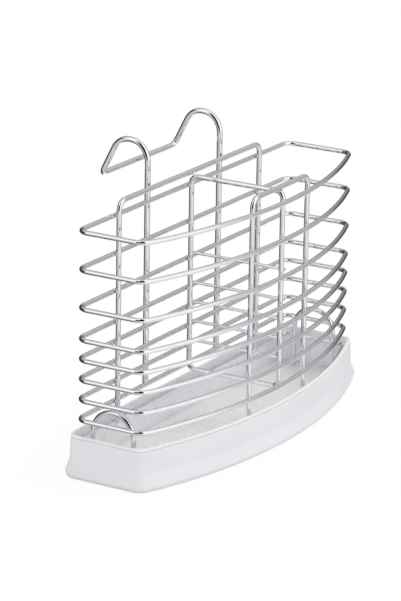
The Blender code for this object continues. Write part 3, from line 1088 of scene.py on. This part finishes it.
# Grey and dark cards around the set, as the chrome mirrors them, in degrees: azimuth from straight
# in front towards the right, half width, softness, lowest, highest, softness. Last, the brightness
STUDIO_CARDS = (
    (-10, 100, 60, -130, -4, 14, 0.88),  # floor in front
    (-150, 78, 50, -130, -3, 12, 0.58),  # floor to the left
    (85, 50, 36, 34, 130, 18, 0.80),  # sky to the right
    (172, 44, 36, 34, 130, 18, 0.55),  # sky behind
    (86, 42, 24, 10, 43, 12, 0.59),  # right above
    (78, 38, 24, -28, 24, 16, 0.46),  # right wall
    (112, 20, 18, -24, 24, 12, 0.30),  # far right
    (90, 11, 12, -14, 13, 10, 0.08),  # right gap
    (176, 49, 20, -34, 34, 14, 0.06),  # behind
    (182, 46, 26, -130, -24, 14, 0.08),  # low behind
    (-74, 32, 8, -9, 41, 10, 0.0),  # camera side
    (-60, 21, 12, 30, 77, 10, 0.02),  # above the camera
)


def light_studio():
    """White to the camera, an even fill on the object, and a studio with its cards in the chrome."""
    settings = bpy.context.scene.drainer_stage
    world = bpy.data.worlds.new("studio")
    bpy.context.scene.world = world
    world.use_nodes = True
    tree = world.node_tree
    tree.nodes.clear()
    away = tree.nodes.new("ShaderNodeTexCoord").outputs["Generated"]
    x, y, z = add_step(tree, "ShaderNodeSeparateXYZ", {0: away}).outputs
    azimuth = maths(tree, "DEGREES", maths(tree, "ARCTAN2", x, maths(tree, "MULTIPLY", y, -1.0)))
    elevation = maths(tree, "DEGREES", maths(tree, "ARCSINE", z))
    seen = settings.studio
    for *card, brightness in STUDIO_CARDS:
        seen = mix(tree, "FLOAT", soft_card(tree, azimuth, elevation, *card), seen, brightness)
    studio, fill, white = (
        add_step(tree, "ShaderNodeBackground", {"Color": colour, "Strength": strength}).outputs[0]
        for colour, strength in ((seen, 1.0), (WHITE, settings.fill), (WHITE, 1.0))
    )
    paths = tree.nodes.new("ShaderNodeLightPath").outputs
    direct = maths(tree, "MAXIMUM", paths["Is Camera Ray"], paths["Is Transmission Ray"])
    mirrored = add_step(tree, "ShaderNodeMixShader", {0: paths["Is Glossy Ray"], 1: fill, 2: studio}).outputs[0]
    final = add_step(tree, "ShaderNodeMixShader", {0: direct, 1: mirrored, 2: white}).outputs[0]
    add_step(tree, "ShaderNodeOutputWorld", {"Surface": final})


def soft_card(tree, azimuth, elevation, centre, half, edge, low, high, fade):
    """How much of a card lies in a direction, from 0 to 1."""
    turned = maths(tree, "SUBTRACT", azimuth, float(centre))
    aside = maths(tree, "ABSOLUTE", maths(tree, "WRAP", turned, 180.0, -180.0))
    above = maths(tree, "ABSOLUTE", maths(tree, "SUBTRACT", elevation, (low + high) / 2))
    across, upright = soft_edge(tree, aside, half, edge), soft_edge(tree, above, (high - low) / 2, fade)
    return maths(tree, "MULTIPLY", across, upright)


def soft_edge(tree, value, limit, softness):
    """1 inside a limit and 0 outside, with a smooth edge."""
    return smooth_range(tree, value, limit + softness / 2, limit - softness / 2)


def hang_lamp():
    """One broad soft box high above, whose light falls between the rings to the tray's floor."""
    settings = bpy.context.scene.drainer_stage
    data = bpy.data.lights.new("soft_box", "AREA")
    data.shape = "DISK"
    data.size = settings.lamp_size
    data.energy = settings.lamp
    lamp = put("soft_box", data)
    place = Vector(settings.lamp_place)
    lamp.matrix_world = Matrix.Translation(place) @ place.to_track_quat("Z", "Y").to_matrix().to_4x4()
    lamp.visible_glossy = False


def place_camera():
    """The camera, from the angle and the distance of the photograph."""
    settings = bpy.context.scene.drainer_stage
    back = Vector((
        math.sin(settings.azimuth) * math.cos(settings.elevation),
        -math.cos(settings.azimuth) * math.cos(settings.elevation),
        math.sin(settings.elevation),
    ))
    right = Vector((0, 0, 1)).cross(back).normalized()
    up = back.cross(right)
    cosine, sine = math.cos(settings.roll), math.sin(settings.roll)
    right, up = cosine * right + sine * up, cosine * up - sine * right
    base = Vector((0, back_line(), ring_level(RING_COUNT - 1)))
    place = base + right * settings.aside + up * settings.above + back * settings.distance
    data = bpy.data.cameras.new("camera")
    data.sensor_fit = "HORIZONTAL"
    data.sensor_width = SENSOR_WIDTH
    data.lens = settings.focal_pixels * SENSOR_WIDTH / PHOTO_WIDTH
    data.clip_start, data.clip_end = CLIP_START, CLIP_END
    camera = put("camera", data)
    camera.matrix_world = Matrix.Translation(place) @ Matrix((right, up, back)).transposed().to_4x4()
    bpy.context.scene.camera = camera


class DRAINER_PT_panel(Panel):
    """Builds the drainer piece by piece"""

    bl_idname = "DRAINER_PT_panel"
    bl_label = "Cutlery drainer"
    bl_space_type = "VIEW_3D"
    bl_region_type = "UI"
    bl_category = "Drainer"

    def draw(self, context):
        for operator in OPERATORS:
            self.layout.operator(operator.bl_idname)
        for name, group in GROUPS.items():
            box = self.layout.box()
            box.label(text=group.__doc__)
            for field in group.__annotations__:
                box.prop(getattr(context.scene, name), field)


GROUPS = {
    "drainer_rings": RingSizes,
    "drainer_frames": FrameSizes,
    "drainer_hooks": HookSizes,
    "drainer_arches": ArchSizes,
    "drainer_making": WireMaking,
    "drainer_tray": TraySizes,
    "drainer_finishes": Finishes,
    "drainer_stage": StageSettings,
}
OPERATORS = (
    DRAINER_OT_rings,
    DRAINER_OT_frames,
    DRAINER_OT_divider,
    DRAINER_OT_hooks,
    DRAINER_OT_arches,
    DRAINER_OT_welds,
    DRAINER_OT_drip_tray,
    DRAINER_OT_stage,
)


def register():
    for group in GROUPS.values():
        bpy.utils.register_class(group)
    for operator in OPERATORS:
        bpy.utils.register_class(operator)
    bpy.utils.register_class(DRAINER_PT_panel)
    for name, group in GROUPS.items():
        setattr(bpy.types.Scene, name, PointerProperty(type=group))


def unregister():
    for name in GROUPS:
        delattr(bpy.types.Scene, name)
    bpy.utils.unregister_class(DRAINER_PT_panel)
    for operator in reversed(OPERATORS):
        bpy.utils.unregister_class(operator)
    for group in reversed(GROUPS.values()):
        bpy.utils.unregister_class(group)


def main():
    register()
    bpy.ops.drainer.rings()
    bpy.ops.drainer.frames()
    bpy.ops.drainer.divider()
    bpy.ops.drainer.hooks()
    bpy.ops.drainer.arches()
    bpy.ops.drainer.welds()
    bpy.ops.drainer.drip_tray()
    bpy.ops.drainer.stage()


if __name__ == "__main__":
    main()
